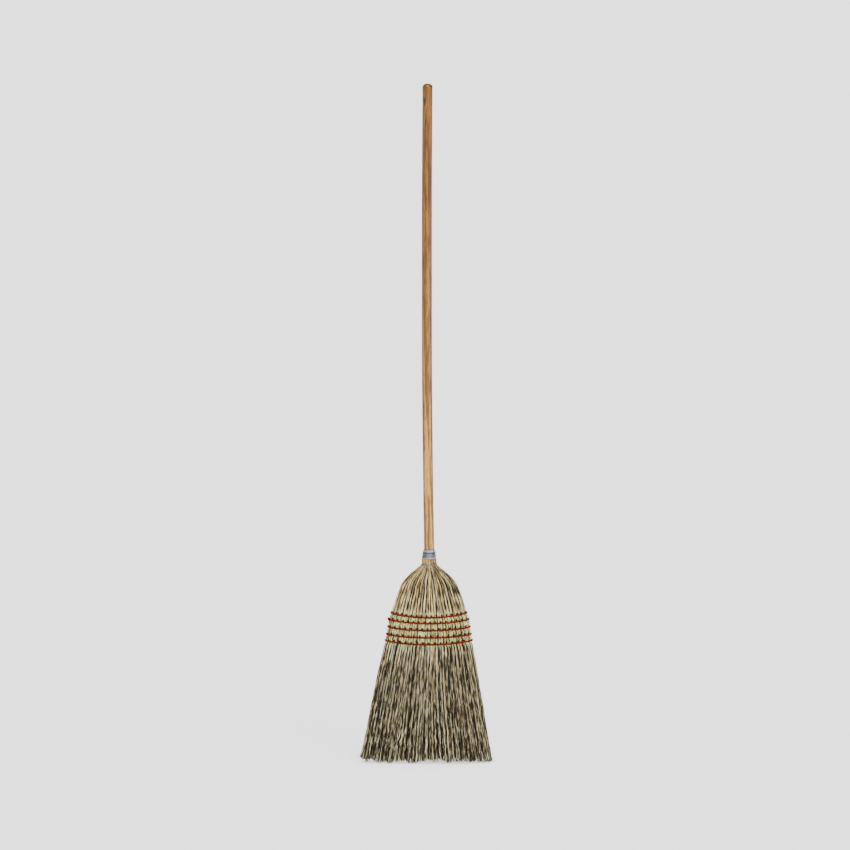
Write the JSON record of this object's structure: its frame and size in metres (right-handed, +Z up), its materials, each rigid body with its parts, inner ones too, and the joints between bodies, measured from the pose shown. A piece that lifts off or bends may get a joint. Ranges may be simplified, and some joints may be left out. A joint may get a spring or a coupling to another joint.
{
  "type": "parlor broom",
  "caption": "Upright broom: a round wooden handle in a flat, flared head of broomcorn straw, bound with wire at the neck and sewn across with rows of red twine.",
  "frame": {"origin": "middle of the straw tips, on the floor that the broom stands on", "axes": "+Z up along the handle, +X across the wide head, front faces -Y"},
  "size_m": [0.2737, 0.0593, 1.42],
  "materials": {
    "lacquered_wood": "clear lacquer over pale turned hardwood, fine long grain",
    "broomcorn_straw": "dry broomcorn straw, matt, tan with grey-green and brown stems",
    "inner_straw": "dry broomcorn straw inside the head, matt",
    "galvanised_wire": "dull galvanised steel wire",
    "red_twine": "twisted red polyester twine, slight sheen"
  },
  "bodies": {
    "root": {"handle": "lacquered_wood", "insides": "inner_straw", "inner_winding": "galvanised_wire", "left_shoulder": "inner_straw", "right_shoulder": "inner_straw", "front_cover": "broomcorn_straw", "rear_cover": "broomcorn_straw", "binding_wire": "galvanised_wire", "wire_tack": "galvanised_wire", "stitch_row_1": "red_twine", "stitch_row_2": "red_twine", "stitch_row_3": "red_twine", "stitch_row_4": "red_twine", "stitch_row_5": "red_twine"}
  },
  "joints": []
}
